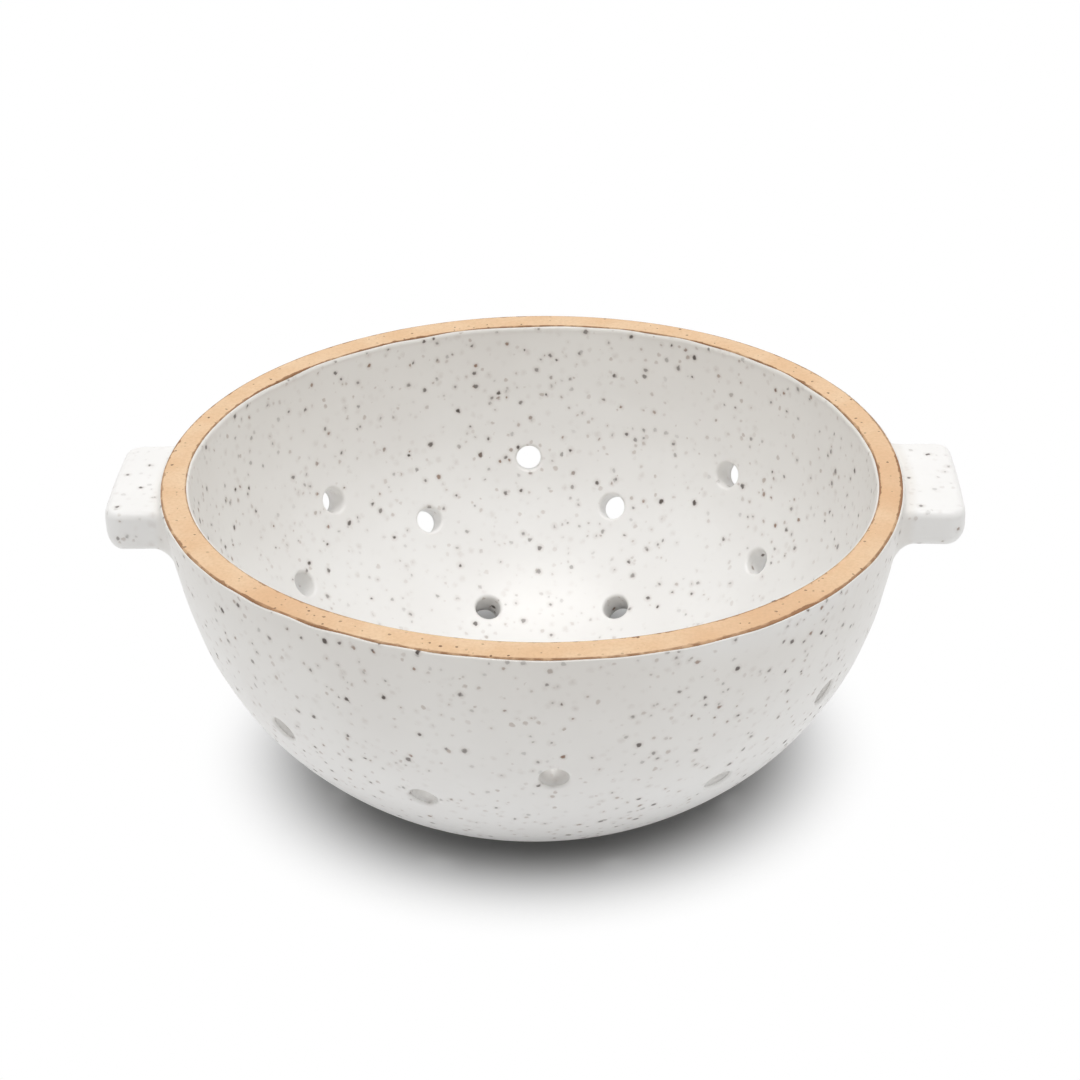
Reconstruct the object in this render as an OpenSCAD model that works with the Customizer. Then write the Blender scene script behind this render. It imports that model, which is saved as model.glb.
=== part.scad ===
// Berry colander bowl: a thrown stoneware bowl, pierced for rinsing fruit,
// with a slab lug luted to each side. It is glazed all over except the lip
// and the foot. Sizes are in mm, +Z is up, the foot stands on z = 0 and the
// two lugs lie on the X axis.

/* [Bowl] */
// Outer diameter of the clay at the lip
rim_d = 165; // [110:1:260]
// Height from the table to the lip
bowl_h = 77; // [50:0.5:130]
// Diameter of the foot
foot_d = 54.5; // [36:0.5:100]
// Clay thickness at the lip and in the upper wall
wall_t = 6.2; // [4:0.1:10]
// Clay thickness in the middle of the floor
floor_t = 6.6; // [4:0.1:12]
// Radius of the nearly straight upper wall, seen in section
wall_curve_r = 160; // [100:1:600]
// Outward lean of the wall at the lip, in degrees
lip_lean = 5; // [0:0.1:12]
// Outward lean where the upper wall meets the belly, in degrees
belly_lean = 14.4; // [10:0.1:25]
// Rounding of the lip's edges, where the glaze stops
lip_round = 0.8; // [0.3:0.1:2.5]

/* [Foot] */
// Width of the ring that stands on the table
foot_ring_w = 6; // [3:0.5:15]
// Depth of the turned recess inside the ring
foot_recess_t = 1.2; // [0.5:0.1:3]

/* [Drain holes] */
// Open diameter of a hole, inside its glaze
hole_d = 6.4; // [3:0.1:10]
// Holes in each ring
ring_holes = 8; // [4:1:12]
// Slope of the upper holes below level, in degrees
upper_hole_angle = 21; // [16:0.5:26]
// Slope of the middle holes below level, in degrees
middle_hole_angle = 33; // [28:0.5:42]
// Slope of the lower holes below level, in degrees
lower_hole_angle = 56; // [48:0.5:64]

/* [Lugs] */
// How far a lug stands out beyond the rim
lug_out = 11.7; // [6:0.1:40]
// Width of a lug along the rim
lug_w = 33.8; // [20:0.1:60]
// Thickness of a lug
lug_t = 8.4; // [5:0.1:16]
// Drop from the lip to the top of a lug
lug_drop = 3.4; // [2:0.1:20]
// Rounding of a lug's outer corners, seen from above
lug_corner_r = 3.2; // [1:0.1:8]
// Rounding of a lug's upper edges
lug_top_r = 1.1; // [0.4:0.1:2.5]
// Rounding of a lug's lower edges
lug_under_r = 2.4; // [0.6:0.1:4]
// Width of the soft clay smoothed in below and beside a lug
luting_w = 4.2; // [1.5:0.1:8]
// Radius of the luting's hollow curve, as a share of its width
luting_curve = 1.4; // [1.1:0.05:3]
// How deep the curve runs into lug and wall before it is cut to them
luting_bite = 0.5; // [0.2:0.05:1]

/* [Glaze] */
// Thickness of the glaze coat
glaze_t = 0.35; // [0.2:0.05:0.8]
// Bare clay between the table and the glaze
bare_foot_h = 1.5; // [0.8:0.1:4]

/* [Hidden] */
$fn = 256;

CLAY = [0.90, 0.72, 0.53];
GLAZE = [0.95, 0.94, 0.92];

// First hole of each ring, in degrees round from +X
upper_start_angle = 3;
middle_start_angle = 27;
lower_start_angle = 20;
// Each hole was punched by eye: how far it strays round and down, in degrees
upper_stray_angles = [[0, 0], [1, -1], [0, 2], [0, 2], [-1, 0], [-2, 1], [1, -1], [6, -2]];
middle_stray_angles = [[6, 1], [2, 0], [0, 1], [-6, 2], [-3, 0], [0, -4], [7, -2], [5, 0]];
lower_stray_angles = [[0, 0], [1, 0], [-2, 1], [1, -1], [0, 0], [-1, 0], [2, 1], [0, 0]];

rim_r = rim_d / 2;
foot_r = foot_d / 2;

// Centre of the upper wall's arc, and the point where the belly takes over
wall_x = rim_r - wall_curve_r * cos(lip_lean);
wall_z = bowl_h + wall_curve_r * sin(lip_lean);
turn_x = wall_x + wall_curve_r * cos(belly_lean);
turn_z = wall_z - wall_curve_r * sin(belly_lean);

// The belly's arc starts tangent to the wall and ends at the edge of the foot
span_x = turn_x - foot_r;
belly_across = span_x * cos(belly_lean) - turn_z * sin(belly_lean);
belly_r = (span_x * span_x + turn_z * turn_z) / (2 * belly_across);
belly_x = turn_x - belly_r * cos(belly_lean);
belly_z = turn_z + belly_r * sin(belly_lean);

// Inside, the belly's arc ends level with the floor, so the wall thickens
inner_turn_x = turn_x - wall_t * cos(belly_lean);
inner_turn_z = turn_z + wall_t * sin(belly_lean);
hollow_r = (inner_turn_z - floor_t) / (1 - sin(belly_lean));
hollow_x = inner_turn_x - hollow_r * cos(belly_lean);
hollow_z = floor_t + hollow_r;

// Lip: the outer and inner face where the rounding of its edges starts
glaze_line_z = bowl_h - lip_round;
lip_outer_x = wall_arc_x(wall_curve_r, glaze_line_z);
lip_inner_x = wall_arc_x(wall_curve_r - wall_t, glaze_line_z);

// Lug: its outer end, its levels and the wall that it is luted to
lug_reach = rim_r + lug_out;
lug_top_z = bowl_h - lug_drop;
lug_under_z = lug_top_z - lug_t;
lug_root_x = rim_r - wall_t;
lug_side_y = lug_w / 2;

// Luting, as [drop below the axis of a lug's lower edges, way out]: where its
// hollow curve leaves the lug and where it enters the wall
luting_lug_x = wall_arc_x(wall_curve_r, lug_under_z) + luting_w;
luting_wall_x = wall_arc_x(wall_curve_r, lug_under_z - luting_w);
luting_near = [lug_under_r - luting_bite, luting_lug_x];
luting_far = [lug_under_r + luting_w, luting_wall_x - luting_bite];
// The curve's centre, square to the middle between those two
luting_half = (luting_near - luting_far) / 2;
luting_r = luting_curve * luting_w;
luting_out = sqrt(luting_r * luting_r - luting_half * luting_half) / norm(luting_half);
luting_middle = (luting_near + luting_far) / 2;
luting_centre = luting_middle + luting_out * [luting_half[1], -luting_half[0]];
// Level of the axis of the lug's lower side edges, and their turn round the bowl
edge_z = lug_under_z + lug_under_r;
edge_far = norm([luting_lug_x, lug_under_r]);
edge_turn = asin(lug_side_y / edge_far) - atan(lug_under_r / luting_lug_x);

// Where an arc of the upper wall is at height z
function wall_arc_x(r, z) = wall_x + sqrt(r * r - pow(wall_z - z, 2));

// Half section of the bowl as if it were solid, grown by a coat
module solid_section(coat, top_z) {
    split_z = turn_z - coat * sin(belly_lean);
    intersection() {
        translate([wall_x, wall_z])
            circle(wall_curve_r + coat);
        translate([0, split_z])
            square([rim_d, top_z - split_z]);
    }
    intersection() {
        union() {
            translate([belly_x, belly_z])
                circle(belly_r + coat);
            square([belly_x, belly_z]);
        }
        square([rim_d, split_z + wall_t]);
    }
}

// Half section of the bowl's hollow, shrunk by a coat
module hollow_section(coat) {
    split_z = inner_turn_z + coat * sin(belly_lean);
    low_z = floor_t + coat;
    intersection() {
        translate([wall_x, wall_z])
            circle(wall_curve_r - wall_t - coat);
        translate([0, split_z])
            square([rim_d, bowl_h + wall_t - split_z]);
    }
    intersection() {
        union() {
            translate([hollow_x, hollow_z])
                circle(hollow_r - coat);
            square([hollow_x, hollow_z]);
        }
        translate([0, low_z])
            square([rim_d, split_z + wall_t - low_z]);
    }
}

// Half section of the thrown wall, lip and foot, grown inwards by a coat
module clay_section(coat) {
    recess_r = foot_r - foot_ring_w;
    difference() {
        solid_section(0, bowl_h);
        hollow_section(coat);
        translate([0, -foot_recess_t])
            square([recess_r, 2 * foot_recess_t]);
        lip_edge(lip_outer_x - lip_round, 0);
        lip_edge(lip_inner_x + lip_round, 1);
    }
}

// What the rounding takes off one edge of the lip
module lip_edge(x, inner) {
    translate([x, glaze_line_z])
        mirror([inner, 0])
            difference() {
                square(wall_t);
                circle(lip_round);
            }
}

module solid_bowl() {
    rotate_extrude()
        solid_section(0, glaze_line_z);
}

// One ring of holes, each square to the belly and a little off its even place.
// The drill starts well inside the hollow, because the wall thickens downwards.
module hole_ring(start_angle, hole_angle, stray_angles, d) {
    for (i = [0:ring_holes - 1]) {
        off = stray_angles[i % len(stray_angles)];
        rotate([0, 0, start_angle + i * 360 / ring_holes + off[0]])
            translate([belly_x, 0, belly_z])
                rotate([0, 90 + hole_angle + off[1], 0])
                    translate([0, 0, belly_r - 3 * wall_t])
                        cylinder(h = 4 * wall_t, d = d);
    }
}

module drain_holes(d) {
    hole_ring(upper_start_angle, upper_hole_angle, upper_stray_angles, d);
    hole_ring(middle_start_angle, middle_hole_angle, middle_stray_angles, d);
    hole_ring(lower_start_angle, lower_hole_angle, lower_stray_angles, d);
    translate([0, 0, -floor_t])
        cylinder(h = 3 * floor_t, d = d);
}

// A square with rounded corners, the two low ones apart from the two high ones
module soft_square(low, high, low_r, high_r) {
    size = high - low;
    for (x = [low[0] + low_r, high[0] - low_r])
        translate([x, low[1] + low_r])
            circle(low_r);
    for (x = [low[0] + high_r, high[0] - high_r])
        translate([x, high[1] - high_r])
            circle(high_r);
    translate(low + [0, low_r])
        square(size - [0, low_r + high_r]);
    translate(low + [low_r, 0])
        square([size[0] - 2 * low_r, size[1] / 2]);
    translate(low + [high_r, size[1] / 2])
        square([size[0] - 2 * high_r, size[1] / 2]);
}

// The right lug before it is cut to the wall, grown by a coat: what the
// outlines from above, from the front and from the end have in common
module lug_form(coat) {
    end_x = lug_reach + coat;
    half_y = lug_side_y + coat;
    low_z = lug_under_z - coat;
    high_z = lug_top_z + coat;
    back_x = lug_root_x - lug_under_r;
    corner_r = lug_corner_r + coat;
    intersection() {
        translate([0, 0, low_z])
            linear_extrude(high_z - low_z)
                intersection() {
                    soft_square([back_x - corner_r, -half_y], [end_x, half_y], corner_r, corner_r);
                    translate([lug_root_x, -half_y])
                        square([end_x, 2 * half_y]);
                }
        rotate([90, 0, 0])
            linear_extrude(3 * half_y, center = true)
                soft_square([back_x - lug_under_r, low_z], [end_x, high_z], lug_under_r + coat, lug_top_r + coat);
        rotate([90, 0, 90])
            linear_extrude(end_x)
                soft_square([-half_y, low_z], [half_y, high_z], lug_under_r + coat, lug_top_r + coat);
    }
}

// Section of the soft clay pressed in at a lug, seen with the drop away from
// the lug's edge axis to the right and the way out from the bowl upwards
module luting_section(coat) {
    low_x = luting_wall_x - luting_w;
    difference() {
        translate([0, low_x])
            square([luting_far[0] + coat, luting_near[1] + coat - low_x]);
        translate(luting_centre)
            circle(luting_r - coat);
    }
}

// It runs along the lug's underside, round its two edges and up its sides
module luting_form(coat) {
    rotate([0, 0, -edge_turn])
        rotate_extrude(angle = 2 * edge_turn)
            translate([0, edge_z])
                rotate(-90)
                    luting_section(coat);
    for (side = [0, 1])
        mirror([0, side, 0])
            rotate([0, 0, edge_turn])
                translate([0, 0, edge_z]) {
                    rotate([0, 90, 0])
                        rotate_extrude(angle = 90)
                            luting_section(coat);
                    linear_extrude(lug_top_z - lug_top_r - edge_z)
                        mirror([0, 1])
                            rotate(-90)
                                luting_section(coat);
                }
}

// The right handle: the lug and its luting, grown by a coat
module handle_form(coat) {
    lug_form(coat);
    luting_form(coat);
}

module handle() {
    difference() {
        handle_form(0);
        solid_bowl();
    }
}

module stoneware_bowl() {
    color(CLAY)
        difference() {
            rotate_extrude()
                clay_section(0);
            drain_holes(hole_d + 2 * glaze_t);
        }
}

module right_handle() {
    color(CLAY)
        handle();
}

module left_handle() {
    color(CLAY)
        mirror([1, 0, 0])
            handle();
}

// The inner coat, with a sleeve of glaze through every drain hole. The sleeves
// run half way into the coat.
module inside_glaze() {
    color(GLAZE)
        difference() {
            union() {
                rotate_extrude()
                    difference() {
                        hollow_section(0);
                        hollow_section(glaze_t);
                        translate([0, glaze_line_z])
                            square([rim_d, 2 * wall_t]);
                    }
                intersection() {
                    rotate_extrude()
                        clay_section(glaze_t / 2);
                    drain_holes(hole_d + 2 * glaze_t);
                }
            }
            drain_holes(hole_d);
        }
}

// The outer coat, over the wall and the two handles
module outside_glaze() {
    color(GLAZE)
        difference() {
            union() {
                rotate_extrude()
                    intersection() {
                        solid_section(glaze_t, glaze_line_z);
                        translate([0, bare_foot_h])
                            square([rim_d, bowl_h]);
                    }
                for (side = [0, 1])
                    mirror([side, 0, 0])
                        handle_form(glaze_t);
            }
            solid_bowl();
            for (side = [0, 1])
                mirror([side, 0, 0])
                    handle_form(0);
            drain_holes(hole_d);
        }
}

stoneware_bowl();
left_handle();
right_handle();
inside_glaze();
outside_glaze();
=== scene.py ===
"""Berry colander bowl in speckled glaze, built round the packed model of the part.

Every piece is made in the model's own frame, in metres: the foot stands on
z = 0, the bowl turns about Z and the two lugs lie on the X axis.
"""

import math

import bpy
import numpy as np
from bpy.props import FloatProperty, FloatVectorProperty, IntProperty, PointerProperty
from bpy.types import Operator, Panel, PropertyGroup
from mathutils import Matrix, Vector


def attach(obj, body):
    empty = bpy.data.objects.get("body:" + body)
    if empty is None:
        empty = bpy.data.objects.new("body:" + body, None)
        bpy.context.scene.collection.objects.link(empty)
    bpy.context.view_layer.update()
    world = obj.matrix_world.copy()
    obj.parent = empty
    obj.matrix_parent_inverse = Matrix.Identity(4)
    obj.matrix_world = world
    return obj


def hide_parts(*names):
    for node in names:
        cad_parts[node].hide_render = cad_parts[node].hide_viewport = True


bl_info = {
    "name": "Berry colander bowl",
    "version": (1, 0, 0),
    "blender": (4, 5, 0),
    "location": "3D View > Sidebar > Pottery",
    "description": "Makes a glazed stoneware berry bowl with lugs and drain holes",
    "category": "Add Mesh",
}

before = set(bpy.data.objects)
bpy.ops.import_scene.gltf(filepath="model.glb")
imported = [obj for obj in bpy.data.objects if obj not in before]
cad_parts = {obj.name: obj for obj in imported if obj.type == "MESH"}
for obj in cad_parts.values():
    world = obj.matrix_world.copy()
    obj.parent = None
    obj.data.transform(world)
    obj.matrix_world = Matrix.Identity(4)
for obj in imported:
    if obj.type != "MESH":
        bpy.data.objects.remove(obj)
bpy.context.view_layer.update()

MM = 0.001


def length(name, description, default_mm, low=0.0, high=400.0):
    """A size in the sidebar, given here in millimetres."""
    return FloatProperty(
        name=name, description=description, default=default_mm * MM,
        min=low * MM, max=high * MM, unit="LENGTH", subtype="DISTANCE", precision=5,
    )


def slope(name, description, degrees):
    """An angle in the sidebar, given here in degrees."""
    return FloatProperty(
        name=name, description=description, default=math.radians(degrees), unit="ROTATION",
    )


def share(name, description, default, high=1.0):
    """A plain number from nought up."""
    return FloatProperty(
        name=name, description=description, default=default, min=0.0, max=high, subtype="FACTOR",
    )


def colour(name, description, default):
    """A colour in linear values."""
    return FloatVectorProperty(
        name=name, description=description, default=default,
        size=3, min=0.0, max=1.0, subtype="COLOR",
    )


def power(name, watts):
    """The power of a lamp."""
    return FloatProperty(
        name=name, description="Power of this lamp", default=watts, min=0, max=500, unit="POWER",
    )


class BowlSizes(PropertyGroup):
    """Sizes of the thrown bowl."""

    rim: length("Rim", "Outer diameter of the clay at the lip", 165)
    height: length("Height", "From the table to the lip", 77)
    foot: length("Foot", "Diameter of the foot", 54.5)
    wall: length("Wall", "Clay thickness at the lip and in the upper wall", 6.2)
    floor: length("Floor", "Clay thickness in the middle of the floor", 6.6)
    wall_curve: length("Wall curve", "Radius of the upper wall in section", 160)
    lip_lean: slope("Lip lean", "Outward lean of the wall at the lip", 5)
    belly_lean: slope("Belly lean", "Outward lean where the belly starts", 14.4)
    lip_round: length("Lip round", "Rounding of the lip's edges", 0.4)
    lip_crown: length("Lip crown", "How far the lip's edges lie below its middle", 0.12)
    foot_ring: length("Foot ring", "Width of the ring that stands on the table", 6)
    foot_recess: length("Foot recess", "Depth of the recess inside the ring", 1.2)
    foot_round: length("Foot round", "Rounding of the foot ring's edges", 0.5)
    throwing_marks: length("Throwing marks", "Height of the finger marks in the wall", 0.05)


class HoleSizes(PropertyGroup):
    """Sizes of the drain holes."""

    bore: length("Bore", "Open diameter of a hole inside its glaze", 6.2)
    edge_round: length("Edge round", "Rounding of a hole's glazed edges", 0.75)
    uneven: length("Uneven", "How far a hole strays from a circle", 0.07)
    per_ring: IntProperty(
        name="Per ring", description="Holes in each ring", default=8, min=4, max=12)
    upper_slope: slope("Upper slope", "Slope of the upper holes below level", 21)
    middle_slope: slope("Middle slope", "Slope of the middle holes below level", 33)
    lower_slope: slope("Lower slope", "Slope of the lower holes below level", 56)


class LugSizes(PropertyGroup):
    """Sizes of the two lugs."""

    reach: length("Reach", "How far a lug stands out beyond the rim", 11.69)
    width: length("Width", "Width of a lug along the rim", 33.8)
    thickness: length("Thickness", "Thickness of a lug", 8.4)
    drop: length("Drop", "From the lip down to the top of a lug", 3.4)
    corner_round: length("Corner round", "Rounding of the outer corners from above", 3.4)
    top_round: length("Top round", "Rounding of the upper edges", 1.3)
    under_round: length("Under round", "Rounding of the lower edges", 2.6)
    flare_top: length("Flare on top", "Hollow curve into the wall above a lug", 1.5)
    flare_side: length("Flare beside", "Hollow curve into the wall beside a lug", 3.2)
    flare_under: length("Flare below", "Hollow curve into the wall below a lug", 3.6)
    end_crown: length("End crown", "How far a lug's outer face bulges", 0.35)


class GlazeFinish(PropertyGroup):
    """Thickness, edges and colours of the glaze."""

    coat: length("Coat", "Thickness of the glaze", 0.35)
    bare_foot: length("Bare foot", "Bare clay between the table and the glaze", 1.5)
    edge_wave: length("Edge wave", "How far the glaze line wanders", 0.16)
    edge_roll: length("Edge roll", "Height of the roll along the glaze's edge", 0.1)
    body: colour("Glaze", "Colour of the glaze", (0.885, 0.877, 0.86))
    # The thin glaze colour also paints shade on the upper walls
    thin: colour(
        "Thin glaze", "Its colour near the lip, where the clay shows through",
        (0.81, 0.785, 0.745))
    speck_dark: colour("Dark specks", "Colour of the iron specks", (0.085, 0.065, 0.055))
    speck_warm: colour("Warm specks", "Colour of the rusty specks", (0.27, 0.165, 0.11))
    roughness: share("Roughness", "Roughness of the glaze", 0.42)


class ClayFinish(PropertyGroup):
    """Colours of the bare fired clay."""

    body: colour("Clay", "Colour of the bare clay", (0.77, 0.51, 0.30))
    light: colour("Pale clay", "Colour of its paler patches", (0.82, 0.59, 0.38))
    flame: colour("Flamed clay", "Colour where the flame licked the lip", (0.68, 0.385, 0.20))
    toast: colour("Toasted clay", "Colour along the glaze line", (0.26, 0.12, 0.05))
    roughness: share("Roughness", "Roughness of the clay", 0.78)


class StudioSettings(PropertyGroup):
    """Camera, lamps and floor."""

    distance: length("Camera distance", "From the aim to the camera", 560, high=3000)
    lens: FloatProperty(
        name="Lens", description="Focal length", default=82.35, min=10, max=300, unit="CAMERA")
    elevation: slope("Elevation", "Camera angle above level", 28.95)
    roll: slope("Roll", "Tilt of the camera about its own line of sight", -0.986)
    turn: slope("Turn", "Turn of the camera round the bowl", 1.75)
    aim_side: length("Aim to the side", "Point aimed at, to the right", 0.96)
    aim_height: length("Aim height", "Height of the point aimed at", 57.7)
    floor_size: length("Floor size", "Side of the floor", 12000, high=40000)
    # The floor's painted shadow
    shadow_near: length("Shadow from", "Where the floor starts to turn white", 44)
    shadow_far: length("Shadow to", "Where the floor is all white", 78)
    shadow_back: length("Shadow set back", "Shift of the shadow away from the front", 6)
    shadow_stretch: share("Shadow stretch", "How much longer the shadow is behind the bowl", 0.16)
    shadow_widen: share("Shadow widening", "How much wider the shadow is from side to side", 0.06)
    shadow_depth: share("Shadow depth", "Floor colour seen beside the foot", 0.36)
    sky: share("Sky", "Strength of the room's even light", 0.565, high=3.0)
    key_power: power("Overhead lamp", 7.35)
    back_power: power("Back lamp", 1.3)
    left_power: power("Left lamp", 0.9)
    right_power: power("Right lamp", 0.8)


# Degrees: where each ring's first hole is, and how far each hole strays round and down
RING_STARTS = (3, 27, 20)
RING_STRAYS = (
    ((0, 0), (1, -1), (0, 2), (0, 2), (-1, 0), (-2, 1), (1, -1), (6, -2)),
    ((6, 1), (2, 0), (0, 1), (-6, 2), (-3, 0), (0, -4), (7, -2), (5, 0)),
    ((0, 0), (1, 0), (-2, 1), (1, -1), (0, 0), (-1, 0), (2, 1), (0, 0)),
)

# Millimetres that the lip strays outwards: plain, then by cosine and sine of 1, 2 ... turns
LIP_OUTSIDE = (-0.15, (-0.06, -0.35), (-0.17, -0.8), (-0.75, -0.35), (-0.22, 0.2))
LIP_INSIDE = (0.12, (0.03, -0.13), (0.35, -0.67), (-0.75, -0.36), (-0.04, -0.1))
STRAY_FADE = 3  # the stray dies away downwards with this power of the height
CALM = 20 * MM  # points nearer to the axis than this are moved less

MARK_STEP = 2.1 * MM  # climb of the finger marks in one radian
MARK_DRIFT = 9 * MM  # climb in which their spacing changes by one radian
MARK_SWAY = 1.3  # how much it changes

OVAL, THREE_SIDED = 0.6, 0.4  # shares of the two ways in which a punched hole is uneven
RING_NUMBERS = 10  # numbers kept for the holes of one ring

# How each lug differs from the drawn one: wider, thicker, rounder below, tilted, own ripple
LUG_HANDS = {
    1: {"width": 0.0, "thick": 0.0, "under": 0.5 * MM, "lean": 0.15 * MM, "phase": 0.4},
    -1: {"width": -0.3 * MM, "thick": 0.8 * MM, "under": 0.2 * MM, "lean": -0.1 * MM,
         "phase": 2.1},
}
RIPPLE = 0.12 * MM  # depth of the ripple that fingers leave in a lug
RIPPLE_ALONG = 4.3 * MM  # one radian of it along the rim
RIPPLE_OUT = 5.2 * MM  # and one radian outwards

GLAZE_SETTLE = 5 * MM  # the glaze line's wandering dies out in this
GLAZE_ROUND = 0.3 * MM  # how soon the glaze reaches its full thickness
ROLL_AT = 0.75 * MM  # middle of the roll along a glaze line
ROLL_WIDTH = 0.45 * MM
OUTER_ROLL, INNER_ROLL = 1 / 3, 1.6  # each coat's roll, as a share of the edge roll
EDGE_WAVES = (3, 40)  # fewest and most waves of a glaze line in one turn
OUTER_SEED, INNER_SEED = 21, 34

TO_GLAZE = "to_glaze"  # mesh attribute: distance from the glaze line, in metres
FLAMED = "flamed"  # mesh attribute: how much the flame darkened the clay
# Degrees round the lip, spread in degrees, and strength of each lick
FLAME_LICKS = ((306, 16, 0.85), (232, 14, 0.7), (355, 24, 0.7), (205, 10, 0.3))
INNER_LEAD = 0.3 * MM  # the lip is toasted less along its inner edge
LICK_LEAD = 0.3 * MM  # and more where the flame licked it
LIP_DEPTH = 2 * MM  # clay further down than this is not toasted

# Specks: cell, smallest and largest radius, soft edge, share of cells left bare, and a shift
FAINT_SPECKS = (2.9 * MM, 0.36 * MM, 0.80 * MM, 0.36 * MM, 0.25, (0.31, 0.17, 0.53))
PLAIN_SPECKS = (2.6 * MM, 0.36 * MM, 0.72 * MM, 0.34 * MM, 0.20, (0.0, 0.0, 0.0))
BOLD_SPECKS = (3.9 * MM, 0.44 * MM, 0.82 * MM, 0.38 * MM, 0.42, (0.73, 0.41, 0.29))
CLAY_SPECKS = (1.7 * MM, 0.12 * MM, 0.42 * MM, 0.10 * MM, 0.30, (0.11, 0.63, 0.37))
HALO = 2  # a halo starts this many soft edges outside its speck
MID_NOISE = (0.3, 0.7)  # the span that a soft noise seldom leaves

# Name, setting for its power, side and place of each lamp
LAMPS = (
    ("overhead", "key_power", 0.65, (0.0, 0.0, 1.3)),
    ("behind", "back_power", 0.7, (0.0, 1.0, 1.0)),
    ("left", "left_power", 0.7, (-1.4, -0.4, 0.45)),
    ("right", "right_power", 0.7, (1.4, -0.4, 0.45)),
)
LAMP_AIM = (0, 0, 0.04)
FLOOR_WHITE = (0.9, 0.9, 0.9)

# Meshing
COLUMNS = 576  # steps round the bowl
TURNS = np.arange(COLUMNS) * 2 * math.pi / COLUMNS
ROW = 0.9 * MM  # step down the wall
PATCH = 5.6 * MM  # half side of the mended patch round a hole
PATCH_STEPS = (0.3, 0.55, 0.78, 1.0)  # shares of the way from the patch's edge to the hole
EDGE_BENDS = np.radians((15, 30, 45, 60, 75, 90))
TUNNEL_STEPS = (0.25, 0.5, 0.75, 1.0)  # shares of the way through the wall
TUNNEL_STOP = 0.8  # a tunnel ends this many edge rounds inside the far face
TUNNEL_FLARE = 0.03 * MM  # how much a tunnel widens on its way
FLOOR_BENDS = np.radians((20, 40, 60, 75, 90))
FLOOR_STEPS = (0.33, 0.66, 1.0)
BORE_SIDES = 48
BORE_DEPTH = 3  # how far in a bore's tool reaches, in wall thicknesses; half as far out
DEPTH_TRIES = 6  # tries that settle where a line meets a face
EDGE_ROWS = np.array([0, 0.04, 0.1, 0.2, 0.32, 0.5, 0.7, 0.9, 1.15, 1.45]) * MM
EVEN_FROM = 2 * MM  # a coat's rows are even from here down
FOOT_STEPS, LIP_STEPS, ACROSS_STEPS = 4, 5, 8
FLARE_LOOPS, SIDE_LOOPS, END_LOOPS = 15, 9, 17
END_SHARE = 1.15  # the close loops at a lug's end, in corner rounds
CORNER_STEPS, FLAT_STEPS = 8, (26, 7)
MOST_ROUND = 0.45  # largest rounding, as a share of a lug's height
CAP_STEPS = (0.8, 0.55, 0.3, 0.12)
SUNK_SPREAD, SUNK_DEPTH = 0.012, 0.12 * MM  # a lug's first loop lies inside the wall


# Shape of the wall in section

class Face:
    """One face of the wall in section: two arcs down from the lip, then level to the axis."""

    def __init__(self, upper, lower):
        """Each arc is its centre's r and z, its radius, and its first and last dip."""
        self.upper, self.lower = upper, lower
        self.upper_run = upper[2] * (upper[4] - upper[3])
        self.run = self.upper_run + lower[2] * (lower[4] - lower[3])
        self.turn_z = upper[1] - upper[2] * math.sin(upper[4])

    def at(self, run):
        """r, z and dip at a distance down the face from the glaze line."""
        r1, z1, radius1, first1, _ = self.upper
        r2, z2, radius2, first2, last2 = self.lower
        on_upper = run < self.upper_run
        dip = np.where(
            on_upper, first1 + run / radius1,
            np.minimum(first2 + (run - self.upper_run) / radius2, last2))
        radius = np.where(on_upper, radius1, radius2)
        r = np.where(on_upper, r1, r2) + radius * np.cos(dip)
        z = np.where(on_upper, z1, z2) - radius * np.sin(dip)
        return r - np.maximum(run - self.run, 0), z, dip

    def gap(self, r, z):
        """How far a point lies outside the face."""
        r1, z1, radius1, _, _ = self.upper
        r2, z2, radius2, _, _ = self.lower
        return np.where(
            z > self.turn_z,
            np.hypot(r - r1, z - z1) - radius1,
            np.hypot(np.maximum(r - r2, 0), z - z2) - radius2)

    def run_at(self, r, z):
        """Distance down the face of a point on its lower arc."""
        r2, z2, radius2, first2, _ = self.lower
        return self.upper_run + radius2 * (math.atan2(z2 - z, r - r2) - first2)


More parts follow.
